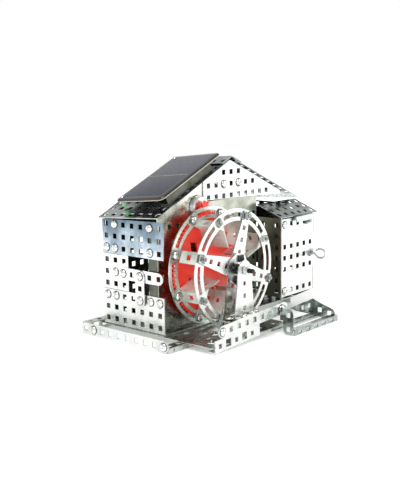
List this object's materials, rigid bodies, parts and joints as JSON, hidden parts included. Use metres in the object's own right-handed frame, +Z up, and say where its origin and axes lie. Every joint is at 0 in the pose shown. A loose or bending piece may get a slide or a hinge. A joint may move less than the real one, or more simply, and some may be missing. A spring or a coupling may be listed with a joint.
{
  "type": "solar water mill kit",
  "caption": "Construction-kit water mill: a gabled house of perforated zinc-plated plates with a solar panel, a paddle wheel with a red gear, a small motor, a deck and a step frame.",
  "frame": {"origin": "on the ground, under the middle of the whole model's bounding box", "axes": "+X along the facade towards the right wing, +Y towards the back wall, +Z up; the water wheel faces -Y and the solar panel lies on the left (-X) roof slope"},
  "size_m": [0.2046, 0.1456, 0.149],
  "materials": {
    "zinc_steel": "bright zinc plating, slightly mottled",
    "shaded_zinc_steel": "zinc plating with a blue-grey cast",
    "blackened_steel": "black oxide, satin",
    "red_plastic": "moulded, satin gloss",
    "black_plastic": "glossy domed rim",
    "solar_cell": "dark blue-grey cells under clear resin"
  },
  "bodies": {
    "house": {"back_wall_plate": "zinc_steel", "base_plate": "zinc_steel", "base_right_rail": "zinc_steel", "bearing_pedestal": "zinc_steel", "bearing_shelf": "zinc_steel", "corner_angle_back_left": "zinc_steel", "corner_angle_back_right": "zinc_steel", "corner_angle_front_left": "zinc_steel", "corner_angle_wing": "zinc_steel", "deck_plate": "zinc_steel", "facade_left_plate": "zinc_steel", "facade_right_plate": "zinc_steel", "front_beam_angle": "zinc_steel", "front_beam_strip": "zinc_steel", "gable_back_plate": "zinc_steel", "gable_front_plate": "zinc_steel", "left_wall_lower_plate": "zinc_steel", "left_wall_middle_plate": "zinc_steel", "left_wall_upper_plate": "shaded_zinc_steel", "motor_can": "zinc_steel", "motor_clamp": "zinc_steel", "porch_bracket": "zinc_steel", "porch_roof_plate": "zinc_steel", "ridge_cap": "zinc_steel", "right_wall_plate": "zinc_steel", "roof_left_plate": "zinc_steel", "roof_right_plate": "zinc_steel", "solar_cell": "solar_cell", "solar_mount": "zinc_steel", "solar_panel_case": "black_plastic", "step_back_angle": "zinc_steel", "step_front_angle": "zinc_steel", "step_left_strip": "zinc_steel", "step_right_strip": "zinc_steel", "tray_back_angle": "zinc_steel", "tray_front_angle": "zinc_steel", "tray_side_strip": "zinc_steel", "window_bar": "zinc_steel", "window_post": "zinc_steel", "wing_front_plate": "zinc_steel", "wing_side_plate": "zinc_steel"},
    "water_wheel": {"wheel_axle": "blackened_steel", "wheel_collar": "blackened_steel", "wheel_cross_strip_a": "zinc_steel", "wheel_cross_strip_b": "zinc_steel", "wheel_front_rim": "zinc_steel", "wheel_gear": "red_plastic", "wheel_hub_plate": "zinc_steel", "wheel_paddle_1": "zinc_steel", "wheel_paddle_2": "zinc_steel", "wheel_paddle_3": "zinc_steel", "wheel_paddle_4": "zinc_steel", "wheel_paddle_5": "zinc_steel", "wheel_paddle_6": "zinc_steel", "wheel_paddle_7": "zinc_steel", "wheel_paddle_8": "zinc_steel", "wheel_rear_rim": "zinc_steel", "axle_end_collar": "zinc_steel"},
    "pinion": {"motor_pinion": "red_plastic"},
    "loop": {"loop_handle": "zinc_steel"}
  },
  "joints": [
    {"name": "wheel_spin", "type": "hinge", "parent": "house", "child": "water_wheel", "pos_m": [-0.03331, -0.02375, 0.0577], "axis": [0, 1, 0], "continuous": true},
    {"name": "pinion_spin", "type": "hinge", "parent": "house", "child": "pinion", "pos_m": [-0.03582, -0.00835, 0.10563], "axis": [0, 1, 0], "continuous": true},
    {"name": "loop_turn", "type": "hinge", "parent": "house", "child": "loop", "pos_m": [0.09069, -0.02825, 0.0527], "axis": [0, 1, 0], "range_deg": [-90, 90]}
  ],
  "couplings": [
    {"joint": "pinion_spin", "follows": "wheel_spin", "ratio": -9}
  ]
}
